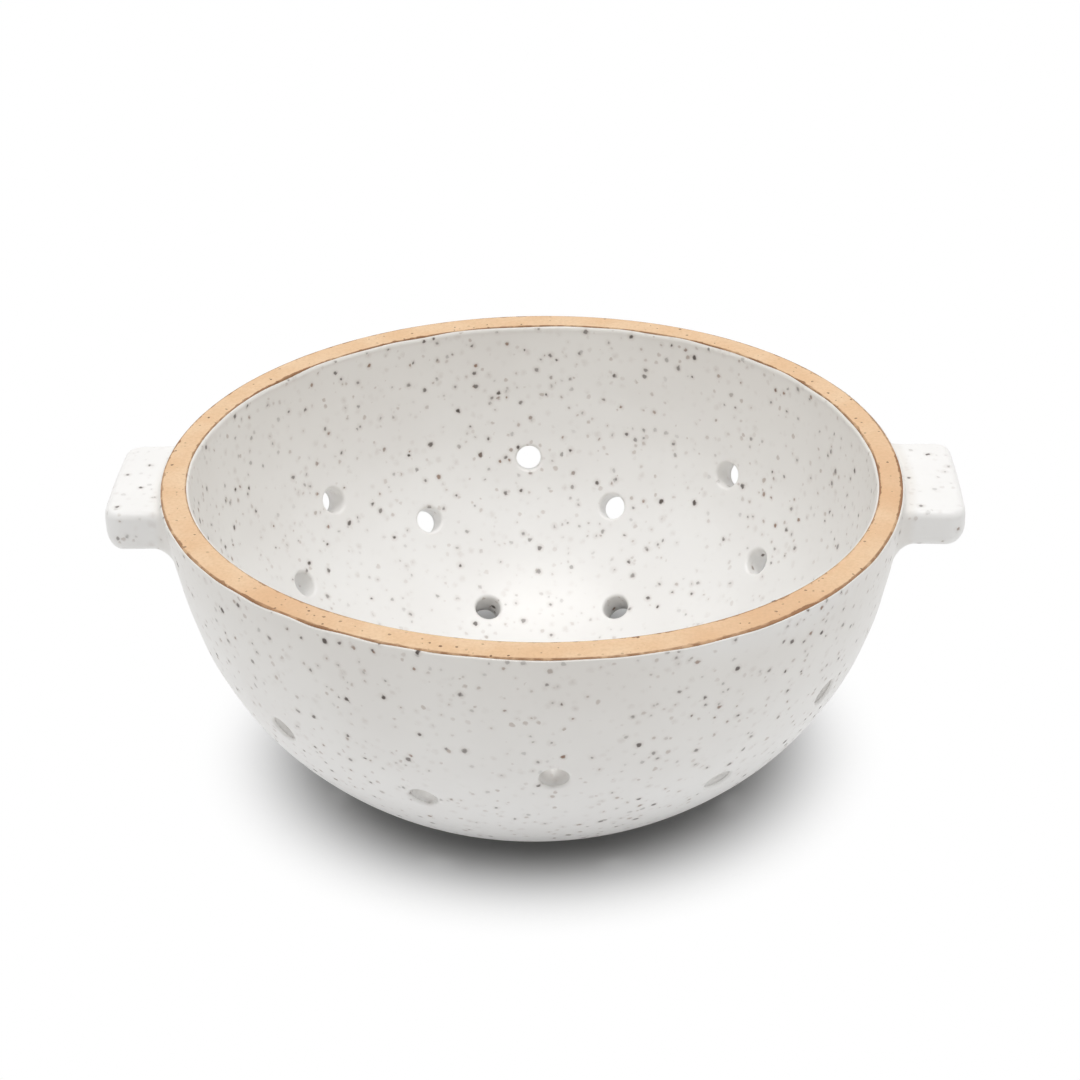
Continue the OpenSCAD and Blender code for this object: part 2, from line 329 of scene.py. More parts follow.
class Wall:
    """The thrown wall's lines, worked out from the sizes as in the part's own source."""

    def __init__(self, sizes):
        s = self.sizes = sizes
        lean = s.belly_lean
        self.rim_r, self.foot_r = s.rim / 2, s.foot / 2
        self.wall_x = self.rim_r - s.wall_curve * math.cos(s.lip_lean)
        self.wall_z = s.height + s.wall_curve * math.sin(s.lip_lean)
        turn_x = self.wall_x + s.wall_curve * math.cos(lean)
        turn_z = self.wall_z - s.wall_curve * math.sin(lean)
        span_x = turn_x - self.foot_r
        across = span_x * math.cos(lean) - turn_z * math.sin(lean)
        self.belly_r = (span_x ** 2 + turn_z ** 2) / (2 * across)
        self.belly_x = turn_x - self.belly_r * math.cos(lean)
        self.belly_z = turn_z + self.belly_r * math.sin(lean)
        inner_x = turn_x - s.wall * math.cos(lean)
        inner_z = turn_z + s.wall * math.sin(lean)
        self.hollow_r = (inner_z - s.floor) / (1 - math.sin(lean))
        self.hollow_x = inner_x - self.hollow_r * math.cos(lean)
        self.hollow_z = s.floor + self.hollow_r
        self.glaze_line = s.height - s.lip_round

    def face(self, upper_radius, lower_arc, last):
        """A face from the glaze line down, whose lower arc has a centre and radius of its own."""
        lean = self.sizes.belly_lean
        first = math.asin((self.wall_z - self.glaze_line) / upper_radius)
        return Face(
            (self.wall_x, self.wall_z, upper_radius, first, lean), (*lower_arc, lean, last))

    def outside(self, coat, low_z):
        """The outer face under or over a coat, down to a height."""
        radius = self.belly_r + coat
        return self.face(
            self.sizes.wall_curve + coat, (self.belly_x, self.belly_z, radius),
            math.asin((self.belly_z - low_z) / radius))

    def inside(self, coat):
        """The inner face under or over a coat, down to the middle of the floor."""
        s = self.sizes
        return self.face(
            s.wall_curve - s.wall - coat, (self.hollow_x, self.hollow_z, self.hollow_r - coat),
            math.pi / 2)

    def outer_r(self, z, coat):
        """Radius of the upper wall's outer face at height z."""
        s = self.sizes
        return self.wall_x + np.sqrt((s.wall_curve + coat) ** 2 - (self.wall_z - z) ** 2)


class Drill:
    """One drain hole: its axis, and the slightly uneven circle that was punched."""

    def __init__(self, wall, holes, turn, dip, number):
        self.wall, self.holes, self.turn = wall, holes, turn
        out = np.array([math.cos(turn), math.sin(turn), 0.0])
        up = np.array([0.0, 0.0, 1.0])
        self.axis = math.cos(dip) * out - math.sin(dip) * up
        self.side = np.array([-math.sin(turn), math.cos(turn), 0.0])
        self.rise = np.cross(self.axis, self.side)
        self.start = wall.belly_x * out + wall.belly_z * up
        draw = np.random.default_rng(number)
        self.phases = draw.uniform(0, 2 * math.pi, 2)

    def bore(self, angle):
        """Radius of the hole in a direction round its axis."""
        two, three = self.phases
        stray = OVAL * np.sin(2 * angle + two) + THREE_SIDED * np.sin(3 * angle + three)
        return self.holes.bore / 2 + self.holes.uneven * stray

    def depth(self, face, angle, away):
        """How far along the axis a face lies, at a distance away from the axis."""
        along = np.full(len(angle), self.wall.belly_r)
        for _ in range(DEPTH_TRIES):
            p = self.place(angle, away, along)
            along = along - face.gap(np.hypot(p[:, 0], p[:, 1]), p[:, 2])
        return along

    def place(self, angle, away, along):
        """Points away from the axis in the directions given, at a depth along it."""
        a, b = away * np.cos(angle), away * np.sin(angle)
        return (self.start + a[:, None] * self.side + b[:, None] * self.rise
                + along[:, None] * self.axis)


def drills(wall, holes):
    """All the holes of the three rings."""
    found = []
    slopes = (holes.upper_slope, holes.middle_slope, holes.lower_slope)
    for ring, (start, strays, dip) in enumerate(zip(RING_STARTS, RING_STRAYS, slopes)):
        for i in range(holes.per_ring):
            round_by, down_by = strays[i % len(strays)]
            turn = math.radians(start + i * 360 / holes.per_ring + round_by)
            found.append(Drill(
                wall, holes, turn, dip + math.radians(down_by), RING_NUMBERS * ring + i))
    return found


# What hands leave in the clay

def waves(turn, seed, low, high):
    """A smooth wandering line round the bowl, between about -1 and 1."""
    draw = np.random.default_rng(seed)
    line = np.zeros_like(turn)
    for k in range(low, high + 1):
        line += np.sin(k * turn + draw.uniform(0, 2 * math.pi)) * draw.uniform(0.4, 1.0)
    return line / math.sqrt(high - low + 1)


def stray(turn, terms):
    """How far the lip strays from its circle, in the directions given."""
    plain, *pairs = terms
    total = np.full_like(turn, plain)
    for k, (cosine, sine) in enumerate(pairs, 1):
        total += cosine * np.cos(k * turn) + sine * np.sin(k * turn)
    return total * MM


def by_hand(points, wall, lugs):
    """Moves points the way the bowl left the wheel: off the circle, with faint finger marks."""
    sizes = wall.sizes
    x, y, z = points.T
    r, turn = np.hypot(x, y), np.arctan2(y, x)
    share_up = np.clip(z / sizes.height, 0, 1)
    inward = np.clip((wall.outer_r(z, 0.0) - r) / sizes.wall, 0, 1)
    lip = stray(turn, LIP_OUTSIDE) * (1 - inward) + stray(turn, LIP_INSIDE) * inward
    fade = np.clip((sizes.rim / 2 + lugs.reach - r) / lugs.reach, 0, 1)
    marks = np.sin(z / MARK_STEP + MARK_SWAY * np.sin(z / MARK_DRIFT) + turn)
    marks = marks * np.clip(share_up * (1 - share_up) * 4, 0, 1)
    moved = lip * share_up ** STRAY_FADE - sizes.throwing_marks * (1 + marks)
    scale = 1 + moved * fade / np.maximum(r, CALM) * np.clip(r / CALM, 0, 1)
    return np.stack([x * scale, y * scale, z], axis=1)


# Meshes

def new_piece(context, name, points, faces):
    """A mesh object with smooth faces, linked to the scene."""
    used = np.unique(np.concatenate([np.asarray(f).ravel() for f in faces]))
    number = np.full(len(points), -1)
    number[used] = np.arange(len(used))
    polygons = []
    for block in faces:
        polygons.extend(number[np.asarray(block)].tolist())
    mesh = bpy.data.meshes.new(name)
    mesh.from_pydata(points[used].tolist(), [], polygons)
    mesh.shade_smooth()
    mesh.validate()
    piece = bpy.data.objects.new(name, mesh)
    context.scene.collection.objects.link(piece)
    return piece


def spun(r, z, turn):
    """Points at a radius and height, turned round the axis."""
    x, y, z = np.broadcast_arrays(r * np.cos(turn), r * np.sin(turn), z)
    return np.stack([x, y, z], axis=-1).reshape(-1, 3)


def band(first, second):
    """Quads between two closed loops of point numbers."""
    return np.stack([first, np.roll(first, -1), np.roll(second, -1), second], axis=1)


def hole_rings(drill, face, far_face, angle, first, holes):
    """Rings from a patch's edge down into its hole: each one's distance from the axis and depth.

    Where a far face is given, the tunnel through the wall to it is carried along.
    """
    bore, edge = drill.bore(angle), holes.edge_round
    sink = -1 if far_face is None else 1
    rings = []
    for part in PATCH_STEPS:
        out = first + (bore + edge - first) * part
        rings.append((out, drill.depth(face, angle, out)))
    for bend in EDGE_BENDS:
        out = bore + edge * (1 - np.sin(bend))
        rings.append((out, drill.depth(face, angle, out) + sink * edge * (1 - np.cos(bend))))
    if far_face is not None:
        near = rings[-1][1]
        far = drill.depth(far_face, angle, bore) - TUNNEL_STOP * edge
        for part in TUNNEL_STEPS:
            rings.append((bore + TUNNEL_FLARE * part, near + (far - near) * part))
    return rings


def pierced_sheet(face, rows, holes, all_drills, lift, far_face=None, bare=None):
    """One glazed face of the wall with every hole rounded over.

    rows are distances down the face and lift(run, turn) gives how far each point
    is moved down the face and how far it stands off it. The inner face is given
    the far face that its tunnels run to. bare says which cells are left out.
    """
    step = 2 * math.pi / COLUMNS
    run, turn = np.meshgrid(rows, np.arange(COLUMNS) * step, indexing="ij")
    shift, off = lift(run, turn)
    r, z, dip = face.at(run + shift)
    r, z = r + off * np.cos(dip), z - off * np.sin(dip)
    grid = spun(r, z, turn)
    number = np.arange(run.size).reshape(run.shape)
    keep = np.ones((len(rows) - 1, COLUMNS), bool)
    if bare is not None:
        keep &= ~bare(grid.reshape(*run.shape, 3)[:-1])
    points, faces, count = [grid], [], run.size
    for drill in all_drills:
        on_axis = drill.depth(face, np.zeros(1), np.zeros(1))
        hole = drill.place(np.zeros(1), np.zeros(1), on_axis)[0]
        hole_r = math.hypot(hole[0], hole[1])
        i = int(np.argmin(np.abs(rows - face.run_at(hole_r, hole[2]))))
        j = int(round(drill.turn / step))
        up_down, side = math.ceil(PATCH / ROW), math.ceil(PATCH / (hole_r * step))
        js = np.arange(j - side, j + side + 1) % COLUMNS
        top, low = i - up_down, i + up_down
        keep[top:low, js[:-1]] = False
        loop = np.concatenate([
            number[low, js], number[top:low, js[-1]][::-1],
            number[top, js[:-1]][::-1], number[top + 1:low, js[0]]])
        away = grid[loop] - drill.start
        up, across = away @ drill.rise, away @ drill.side
        angle, first = np.arctan2(up, across), np.hypot(up, across)
        for out, along in hole_rings(drill, face, far_face, angle, first, holes):
            points.append(drill.place(angle, out, along))
            ring = np.arange(count, count + len(loop))
            faces.append(band(loop, ring))
            loop, count = ring, count + len(loop)
    i, j = np.nonzero(keep)
    beside = (j + 1) % COLUMNS
    faces.append(np.stack(
        [number[i, j], number[i + 1, j], number[i + 1, beside], number[i, beside]], axis=1))
    if far_face is not None:
        faces = [block[:, ::-1] for block in faces]
    return np.concatenate(points), faces


def revolved(profile):
    """A closed solid turned from a closed outline of r and z."""
    points = spun(*profile.T[..., None], TURNS)
    number = np.arange(len(points)).reshape(len(profile), COLUMNS)
    below = np.roll(number, -1, axis=0)
    faces = np.stack(
        [number, below, np.roll(below, -1, axis=1), np.roll(number, -1, axis=1)],
        axis=-1).reshape(-1, 4)
    return points, [faces]


def arc(centre_r, centre_z, radius, first, last, steps):
    """Points of an arc in section, with angles in degrees up from level."""
    angle = np.radians(np.linspace(first, last, steps + 1))
    return np.stack([centre_r + radius * np.cos(angle), centre_z + radius * np.sin(angle)], axis=1)


def even_rows(run):
    """Even steps down a face to its end."""
    return np.append(np.arange(0, run, ROW), run)


def clay_outline(wall, holes, glaze):
    """The thrown clay's outline: outside down, under the foot, up the hollow, over the lip."""
    s = wall.sizes
    outer, inner = wall.outside(0.0, s.foot_round), wall.inside(0.0)
    bore, soft = holes.bore / 2 + glaze.coat, s.foot_round
    r_out, z_out, _ = outer.at(even_rows(outer.run))
    recess_r = wall.foot_r - s.foot_ring
    foot = np.concatenate([
        arc(r_out[-1] - soft, soft, soft, -20, -90, FOOT_STEPS),
        arc(recess_r + soft, soft, soft, -90, -180, FOOT_STEPS),
        [(recess_r, s.foot_recess), (recess_r - s.foot_ring, s.foot_recess),
         (bore, s.foot_recess)]])
    to_bore = inner.run + inner.at(inner.run)[0] - bore
    r_in, z_in, _ = inner.at(even_rows(to_bore)[::-1])
    lip_out, lip_in = r_out[0] - s.lip_round, r_in[-1] + s.lip_round
    bend = np.radians(np.linspace(15, 90, LIP_STEPS + 1))
    sweep = s.lip_round * np.cos(bend)
    rise = wall.glaze_line + (s.lip_round - s.lip_crown) * np.sin(bend)
    across = np.linspace(0, 1, ACROSS_STEPS + 1)[1:-1]
    crown = s.lip_crown * (2 * across - 1) ** 2
    return np.concatenate([
        np.stack([r_out, z_out], axis=1), foot, np.stack([r_in, z_in], axis=1),
        np.stack([lip_in - sweep, rise], axis=1),
        np.stack([lip_in + (lip_out - lip_in) * across, s.height - crown], axis=1),
        np.stack([lip_out + sweep, rise], axis=1)[::-1]])


def bore_through(context, piece, all_drills, radius, depth):
    """Cuts plain bores for every drill through a piece."""
    sides = BORE_SIDES
    turn = np.arange(sides) * 2 * math.pi / sides
    points, faces, count = [], [], 0
    for drill in all_drills:
        for along in (drill.wall.belly_r - depth, drill.wall.belly_r + depth / 2):
            points.append(drill.place(turn, np.full(sides, radius), np.full(sides, along)))
        low, high = np.arange(count, count + sides), np.arange(count + sides, count + 2 * sides)
        faces += [band(low, high), low[::-1][None], high[None]]
        count += 2 * sides
    cutter = new_piece(context, "bores", np.concatenate(points), faces)
    cut = piece.modifiers.new("Bores", "BOOLEAN")
    cut.object, cut.operation, cut.solver = cutter, "DIFFERENCE", "MANIFOLD"
    context.view_layer.update()
    mesh = bpy.data.meshes.new_from_object(piece.evaluated_get(context.evaluated_depsgraph_get()))
    piece.modifiers.clear()
    piece.data = mesh
    mesh.shade_smooth()
    bpy.data.objects.remove(cutter)


def rounding(depth, radius):
    """How far a rounded edge is set back, at a depth in from where the rounding starts."""
    near = min(max(depth, 0), radius)
    return radius - math.sqrt(max(radius ** 2 - (radius - near) ** 2, 0))


def lug_stations(nominal, flare, corner_round):
    """Where a lug's loops stand, out from the wall: close together at both ends."""
    lead = flare * (1 - np.cos(np.radians(np.linspace(0, 90, FLARE_LOOPS))))
    end = END_SHARE * corner_round
    middle = np.linspace(flare, nominal - end, SIDE_LOOPS)[1:-1]
    tail = nominal - end * (1 - np.sin(np.radians(np.linspace(0, 90, END_LOOPS))))
    return np.concatenate([lead, middle, tail])


def rounded_loop(half, low, high, low_r, high_r):
    """y and z round a lug's section, which is rounded less above than below."""
    quarter = np.radians(np.linspace(0, 90, CORNER_STEPS + 1))
    corners = (
        (half - high_r, high - high_r, high_r), (-half + high_r, high - high_r, high_r),
        (-half + low_r, low + low_r, low_r), (half - low_r, low + low_r, low_r))
    bends = []
    for k, (y, z, radius) in enumerate(corners):
        angle = quarter + k * math.pi / 2
        bends.append(np.stack([y + radius * np.cos(angle), z + radius * np.sin(angle)], axis=1))
    loop = []
    for k, bend in enumerate(bends):
        between = np.linspace(0, 1, FLAT_STEPS[k % 2] + 1)[1:-1, None]
        loop += [bend, bend[-1] + (bends[(k + 1) % 4][0] - bend[-1]) * between]
    return np.concatenate(loop).T


def lug_skin(wall, lugs, coat, side):
    """The skin of one lug: loops that flare out of the wall and round over its end.

    side is 1 for the right lug and -1 for the left.
    """
    s, hand = wall.sizes, LUG_HANDS[side]
    half = lugs.width / 2 + coat + hand["width"] / 2
    high = s.height - lugs.drop + coat
    low = s.height - lugs.drop - lugs.thickness - hand["thick"] - coat
    reach = wall.rim_r + lugs.reach + coat
    plan_r, top_r = lugs.corner_round + coat, lugs.top_round + coat
    low_r = lugs.under_round + hand["under"] + coat
    nominal = reach - wall.outer_r((high + low) / 2, coat)
    flare = max(lugs.flare_top, lugs.flare_side, lugs.flare_under)
    loops = []
    for out in lug_stations(nominal, flare, plan_r):
        end = nominal - out
        beside = rounding(out, lugs.flare_side)
        y_half = half + beside - rounding(end, plan_r)
        z_high = high + rounding(out, lugs.flare_top) - rounding(end, top_r)
        z_low = low - rounding(out, lugs.flare_under) + rounding(end, low_r)
        most, wider = MOST_ROUND * (z_high - z_low), 1 + beside / half
        y, z = rounded_loop(
            y_half, z_low, z_high, min(low_r * wider, most), min(top_r * wider, most))
        x_wall = np.sqrt(wall.outer_r(z, coat) ** 2 - y ** 2)
        x = x_wall + (reach - x_wall) * out / nominal
        x = x - lugs.end_crown * (y / half) ** 2 * (out / nominal) ** 2
        loops.append(np.stack([x, y, z], axis=1))
    first, last = loops[0], loops[-1]
    sunk = first + (first - first.mean(axis=0)) * SUNK_SPREAD - np.array([SUNK_DEPTH, 0, 0])
    loops.insert(0, sunk)
    middle = last.mean(axis=0)
    for part in CAP_STEPS:
        inner = middle + (last - middle) * part
        inner[:, 0] = last[:, 0]
        loops.append(inner)
    points = np.concatenate(loops)
    out = np.clip((points[:, 0] - wall.rim_r) / lugs.reach, 0, 1)
    ripple = np.sin(points[:, 1] / RIPPLE_ALONG + hand["phase"]) * np.sin(
        points[:, 0] / RIPPLE_OUT)
    points[:, 2] += hand["lean"] * (points[:, 1] / half) * out - abs(hand["lean"])
    points[:, 2] -= RIPPLE * (1 + ripple) * out
    points[:, 0] *= side
    number = np.arange(len(points)).reshape(len(loops), -1)
    faces = [band(near, far) for near, far in zip(number, number[1:])] + [number[-1][None]]
    if side < 0:
        faces = [block[:, ::-1] for block in faces]
    return points, faces


def joined(parts):
    """Several (points, faces) as one."""
    points, faces, count = [], [], 0
    for some_points, some_faces in parts:
        points.append(some_points)
        faces += [block + count for block in some_faces]
        count += len(some_points)
    return np.concatenate(points), faces


def wandering_edge(glaze, seed, roll):
    """How a coat's upper edge wanders and rolls over, for pierced_sheet."""

    def lift(run, turn):
        fade = np.exp(-run / GLAZE_SETTLE)
        shift = glaze.edge_wave * fade * waves(turn, seed, *EDGE_WAVES)
        near = np.clip(run / GLAZE_ROUND, 0, 1)
        thin = -glaze.coat * (1 - np.sqrt(1 - (1 - near) ** 2))
        bead = roll * glaze.edge_roll * np.exp(-((run - ROLL_AT) / ROLL_WIDTH) ** 2)
        return shift, thin + bead * near

    return lift


def coat_rows(run):
    """Steps down a coat: fine at its upper edge, then even."""
    return np.concatenate([EDGE_ROWS, np.arange(EVEN_FROM, run, ROW)[:-1], [run]])


def thicken(piece, coat):
    """Gives a skin its thickness, on the side away from its face."""
    skin = piece.modifiers.new("Coat", "SOLIDIFY")
    skin.thickness = coat
    skin.offset = -1


# Materials

class Board:
    """Short words for adding shader nodes to a material or to the world."""

    def __init__(self, owner):
        owner.use_nodes = True
        self.owner, self.tree = owner, owner.node_tree
        self.shader = self.tree.nodes.get("Principled BSDF") or self.tree.nodes["Background"]

    def put(self, kind, values=None, **settings):
        """Adds a node; values go to its inputs by name or number, as numbers or links."""
        node = self.tree.nodes.new(kind)
        for key, value in settings.items():
            setattr(node, key, value)
        for key, value in (values or {}).items():
            self.feed(node.inputs[key], value)
        return node

    def feed(self, socket, value):
        """Gives any socket a number or a link."""
        if isinstance(value, bpy.types.NodeSocket):
            self.tree.links.new(value, socket)
        else:
            socket.default_value = value

    def give(self, name, value):
        """Gives an input of the shader a number or a link, by name."""
        self.feed(self.shader.inputs[name], value)

    def sum(self, operation, *values, clamp=False):
        """One step of reckoning."""
        return self.put(
            "ShaderNodeMath", dict(enumerate(values)), operation=operation,
            use_clamp=clamp).outputs[0]

    def span(self, value, low, high, to_low=0.0, to_high=1.0, smooth=True):
        """Maps a value from one span to another, and stays within the second."""
        return self.put(
            "ShaderNodeMapRange", {0: value, 1: low, 2: high, 3: to_low, 4: to_high},
            interpolation_type="SMOOTHSTEP" if smooth else "LINEAR").outputs[0]

    def vector(self, operation, *values, output="Vector", **named):
        """One step of reckoning with vectors."""
        return self.put("ShaderNodeVectorMath", {**dict(enumerate(values)), **named},
                        operation=operation).outputs[output]

    def product(self, first, *others):
        """All the values multiplied together."""
        for value in others:
            first = self.sum("MULTIPLY", first, value)
        return first

    def mix(self, amount, first, second):
        """A colour between two, each a property or a link.

        Inputs 6 and 7 and output 2 of the node are its colours.
        """
        node = self.put("ShaderNodeMix", {0: amount}, data_type="RGBA")
        for socket, value in ((node.inputs[6], first), (node.inputs[7], second)):
            linked = isinstance(value, bpy.types.NodeSocket)
            self.feed(socket, value if linked else (*value, 1.0))
        return node.outputs[2]

    def noise(self, place, per_metre, detail=3.0, rough=0.5):
        """A soft noise, as a number."""
        return self.put("ShaderNodeTexNoise", {
            "Vector": place, "Scale": per_metre, "Detail": detail, "Roughness": rough}).outputs[0]

    def cells(self, place, cell):
        """Voronoi cells of a size in metres: distance in metres and three chances."""
        node = self.put("ShaderNodeTexVoronoi", {"Vector": place, "Scale": 1 / cell})
        distance = self.sum("MULTIPLY", node.outputs["Distance"], cell)
        chance = self.put("ShaderNodeSeparateColor", {0: node.outputs["Color"]}).outputs
        return distance, chance

    def place(self):
        """The point on the piece, in metres."""
        return self.put("ShaderNodeTexCoord").outputs["Object"]

    def parts(self, vector):
        """The x, y and z of a vector."""
        return self.put("ShaderNodeSeparateXYZ", {0: vector}).outputs

    def mark(self, name):
        """A number kept on the mesh."""
        return self.put("ShaderNodeAttribute", attribute_name=name).outputs["Fac"]

    def seen(self):
        """One for the camera's rays and for those off gloss or through glass, else nought."""
        ray = self.put("ShaderNodeLightPath").outputs
        return self.sum("MAXIMUM", ray["Is Camera Ray"], self.sum(
            "MAXIMUM", ray["Is Glossy Ray"], ray["Is Transmission Ray"]))

    def ragged(self, place, per_metre, by):
        """The place, shifted by a fine noise, so that round things get ragged."""
        noise = self.put("ShaderNodeTexNoise", {
            "Vector": place, "Scale": per_metre, "Detail": 2.0}).outputs["Color"]
        shift = self.vector("SUBTRACT", noise, (0.5, 0.5, 0.5))
        return self.vector("ADD", place, self.vector("SCALE", shift, Scale=by))

    def bump(self, height, distance, strength, below=None):
        """A relief on the surface, over another one if given."""
        values = {"Height": height, "Distance": distance, "Strength": strength}
        if below is not None:
            values["Normal"] = below
        return self.put("ShaderNodeBump", values).outputs[0]


class Specks:
    """One layer of specks, and the three chances that colour each one."""

    def __init__(self, board, place, cell, small, large, soft, bare, shift):
        self.board, self.soft = board, soft
        distance, self.chance = board.cells(board.vector("ADD", place, shift), cell)
        size = board.span(self.chance[0], bare, 1.0, small, large, smooth=False)
        self.inside = board.sum("SUBTRACT", size, distance)
        self.there = board.sum("GREATER_THAN", self.chance[0], bare)

    def cover(self, spread=0):
        """One inside a speck, less over its soft edge. Spread adds soft edges outside it."""
        fade = self.board.span(self.inside, -spread * self.soft, self.soft)
        return self.board.product(fade, self.there)

    def strength(self, least, most):
        """How dark each speck is, by its own chance."""
        return self.board.span(self.chance[1], 0.0, 1.0, least, most)


def glaze_material(glaze, sizes):
    """White satin glaze with iron specks, darker and warmer towards the lip, partly as painted
    shade.
    """
    board = Board(bpy.data.materials.new("speckled_glaze"))
    place = board.place()
    dark, warm = glaze.speck_dark, glaze.speck_warm

    # Darker and warmer towards the lip, but not on the lugs: clay showing through thinner glaze,
    # and painted shade on the upper walls
    x, y, z = board.parts(place)
    from_axis = board.sum("SQRT", board.sum("ADD", board.product(x, x), board.product(y, y)))
    rim = sizes.rim / 2
    off_lugs = board.span(from_axis, rim + 0.5 * MM, rim + 3 * MM, 1.0, 0.0)
    up = board.span(z, 0.4 * sizes.height, sizes.height, smooth=False)
    body = board.mix(board.product(up, off_lugs), glaze.body, glaze.thin)
    cloud = board.noise(place, per_metre=38.0)
    body = board.mix(board.span(cloud, *MID_NOISE, 0.0, 0.05), body, warm)

    # Specks crowd in places, and sink where the glaze pools on faces that look up
    ragged = board.ragged(place, per_metre=900.0, by=0.9 * MM)
    crowded = board.span(board.noise(place, per_metre=60.0, detail=2.0), 0.38, 0.58, 0.3, 1.0)
    normal = board.put("ShaderNodeTexCoord").outputs["Normal"]
    sunk = board.span(board.parts(normal)[2], 0.35, 0.85, 1.0, 0.45)
    faint, plain, bold = (
        Specks(board, ragged, *layer) for layer in (FAINT_SPECKS, PLAIN_SPECKS, BOLD_SPECKS))
    faintly = board.product(faint.cover(), faint.strength(0.08, 0.42), sunk)
    strength = board.product(plain.strength(0.3, 1.0), crowded, sunk)
    plainly = board.product(plain.cover(), strength)
    boldly = board.product(bold.cover(), bold.strength(0.6, 1.0))
    halo = board.product(
        board.sum("MAXIMUM", board.product(plain.cover(HALO), strength), bold.cover(HALO)), 0.2)
    tint = board.mix(board.span(plain.chance[2], 0.2, 0.75), dark, warm)
    body = board.mix(board.sum("MAXIMUM", faintly, halo), body, warm)
    body = board.mix(boldly, board.mix(plainly, body, tint), dark)
    board.give("Base Color", body)

    # Satin, a little rougher over the specks, with a faint ripple and sunk specks
    marks = board.sum("MAXIMUM", plainly, boldly)
    satin = board.noise(place, per_metre=700.0)
    rough = board.span(satin, *MID_NOISE, glaze.roughness - 0.05, glaze.roughness + 0.06)
    rough = board.sum("ADD", rough, board.product(marks, 0.2), clamp=True)
    board.give("Roughness", rough)
    skin = board.bump(board.noise(place, per_metre=160.0, detail=2.0), 0.25 * MM, 0.25)
    skin = board.bump(satin, 0.04 * MM, 0.25, skin)
    skin = board.bump(board.sum("SUBTRACT", 1.0, marks), 0.08 * MM, 0.6, skin)
    board.give("Normal", skin)
    for name, value in (("IOR", 1.5), ("Coat Weight", 0.25), ("Coat Roughness", 0.3)):
        board.give(name, value)
    return board.owner


def clay_material(clay):
    """Bare fired clay, licked by the flame in places and toasted along the glaze lines."""
    board = Board(bpy.data.materials.new("bare_clay"))
    place = board.place()
    grain = board.noise(place, per_metre=1400.0, detail=4.0, rough=0.6)
    cloud = board.noise(place, per_metre=90.0)
    body = board.mix(board.span(cloud, *MID_NOISE), clay.body, clay.light)
    licked = board.mark(FLAMED)
    drift = board.sum("SUBTRACT", board.noise(place, per_metre=55.0), 0.5)
    flame = board.sum("ADD", licked, board.product(drift, 0.9))
    body = board.mix(board.span(flame, 0.1, 0.9, 0.0, 0.5), body, clay.flame)
    darker = tuple(0.8 * c for c in clay.body)
    body = board.mix(board.span(grain, 0.35, 0.75, 0.0, 0.35), body, darker)

    layer = Specks(board, board.ragged(place, per_metre=1200.0, by=0.6 * MM), *CLAY_SPECKS)
    specks = board.product(layer.cover(), layer.strength(0.2, 0.9))
    body = board.mix(specks, body, tuple(0.5 * c for c in clay.toast))

    # A thin broken line along the glaze, and blotches that reach out from it
    far = board.sum("SUBTRACT", board.mark(TO_GLAZE), board.product(licked, LICK_LEAD))
    broken = board.span(board.noise(place, per_metre=420.0, detail=2.0), 0.35, 0.6, 0.45, 1.0)
    line = board.product(board.span(far, 0.42 * MM, 0.78 * MM, 0.85, 0.0), broken)
    wander = board.sum("SUBTRACT", board.noise(place, per_metre=340.0, detail=4.0, rough=0.6), 0.5)
    reach = board.sum("ADD", far, board.product(wander, 2.4 * MM))
    patchy = board.sum("MAXIMUM", licked, board.span(
        board.noise(place, per_metre=70.0, detail=2.0), 0.40, 0.60))
    blotch = board.product(board.span(reach, 0.50 * MM, 0.75 * MM, 0.9, 0.0), patchy)
    body = board.mix(board.sum("MAXIMUM", line, blotch), body, clay.toast)
    board.give("Base Color", body)

    board.give("Roughness", board.span(
        grain, *MID_NOISE, clay.roughness - 0.08, clay.roughness + 0.08))
    skin = board.bump(board.noise(place, per_metre=420.0), 0.12 * MM, 0.5)
    skin = board.bump(grain, 0.06 * MM, 0.6, skin)
    skin = board.bump(board.sum("SUBTRACT", 1.0, specks), 0.08 * MM, 0.7, skin)
    board.give("Normal", skin)
    return board.owner


def mark_lip(piece, shape, wall):
    """Keeps two marks on the mesh: distance from the nearer glaze line, and flaming."""
    r, z = np.hypot(shape[:, 0], shape[:, 1]), shape[:, 2]
    outer, inner = wall.rim_r, wall.rim_r - wall.sizes.wall
    up = np.maximum(z - wall.glaze_line, 0)
    far = np.minimum(np.maximum(outer - r, 0), np.maximum(r - inner, 0) + INNER_LEAD) + up / 2
    far[z < wall.glaze_line - LIP_DEPTH] = wall.sizes.wall
    turn = np.degrees(np.arctan2(shape[:, 1], shape[:, 0]))
    licked = np.zeros(len(r))
    for middle, spread, strength in FLAME_LICKS:
        away = (turn - middle + 180) % 360 - 180
        licked = np.maximum(licked, strength * np.exp(-(away / spread) ** 2))
    licked[z < wall.glaze_line - LIP_DEPTH] = 0
    for name, values in ((TO_GLAZE, far), (FLAMED, licked)):
        marks = piece.data.attributes.new(name, "FLOAT", "POINT")
        marks.data.foreach_set("value", values.astype(np.float32))


def finish_piece(piece, material, slot, *nodes):
    """Gives a piece its material, hangs it under the root body and hides the parts of the model
    that it stands in for.
    """
    piece.data.materials.clear()
    piece.data.materials.append(material)
    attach(piece, "root")
    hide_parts(*nodes)


def clay_of(scene):
    """The bare clay, made once."""
    return bpy.data.materials.get("bare_clay") or clay_material(scene.berry_clay)


def glaze_of(scene):
    """The speckled glaze, made once."""
    return bpy.data.materials.get("speckled_glaze") or glaze_material(
        scene.berry_glaze, scene.berry_bowl)


# Operators

